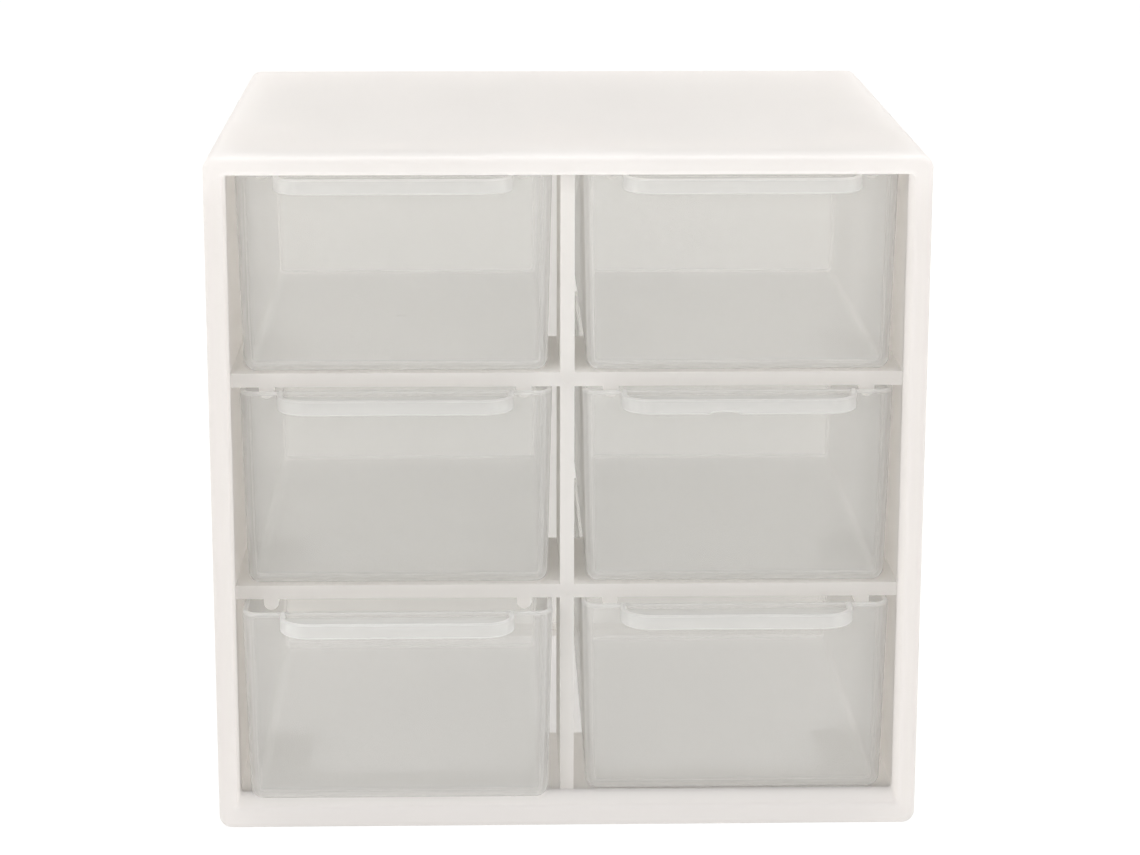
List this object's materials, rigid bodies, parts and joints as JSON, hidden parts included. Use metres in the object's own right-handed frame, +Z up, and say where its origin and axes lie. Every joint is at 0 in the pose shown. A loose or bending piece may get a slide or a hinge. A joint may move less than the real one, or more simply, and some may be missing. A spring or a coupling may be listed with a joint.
{
  "type": "desk organizer",
  "caption": "Front-open white case with small frosted pull-out drawers in two columns, for keeping stationery and small items on a desk.",
  "frame": {"origin": "centre of the case's underside, on the surface that the case stands on", "axes": "+Z up, +X to the right seen from the front, the drawers face and pull out along -Y"},
  "size_m": [0.168, 0.1593, 0.1631],
  "materials": {
    "case_white": "fine satin",
    "drawer_frosted": "frosted translucent"
  },
  "bodies": {
    "cabinet": {"case_shell": "case_white", "grid_insert": "case_white", "rear_panel": "case_white"},
    "drawer_bottom_left": {"drawer_bottom_left": "drawer_frosted"},
    "drawer_bottom_right": {"drawer_bottom_right": "drawer_frosted"},
    "drawer_middle_left": {"drawer_middle_left": "drawer_frosted"},
    "drawer_middle_right": {"drawer_middle_right": "drawer_frosted"},
    "drawer_top_left": {"drawer_top_left": "drawer_frosted"},
    "drawer_top_right": {"drawer_top_right": "drawer_frosted"}
  },
  "joints": [
    {"name": "slide_bottom_left", "type": "slide", "parent": "cabinet", "child": "drawer_bottom_left", "axis": [0, -1, 0], "range_m": [-0.0075, 0.1065]},
    {"name": "slide_bottom_right", "type": "slide", "parent": "cabinet", "child": "drawer_bottom_right", "axis": [0, -1, 0], "range_m": [-0.0019, 0.1121]},
    {"name": "slide_middle_left", "type": "slide", "parent": "cabinet", "child": "drawer_middle_left", "axis": [0, -1, 0], "range_m": [0, 0.114]},
    {"name": "slide_middle_right", "type": "slide", "parent": "cabinet", "child": "drawer_middle_right", "axis": [0, -1, 0], "range_m": [0, 0.114]},
    {"name": "slide_top_left", "type": "slide", "parent": "cabinet", "child": "drawer_top_left", "axis": [0, -1, 0], "range_m": [0, 0.114]},
    {"name": "slide_top_right", "type": "slide", "parent": "cabinet", "child": "drawer_top_right", "axis": [0, -1, 0], "range_m": [0, 0.114]}
  ]
}
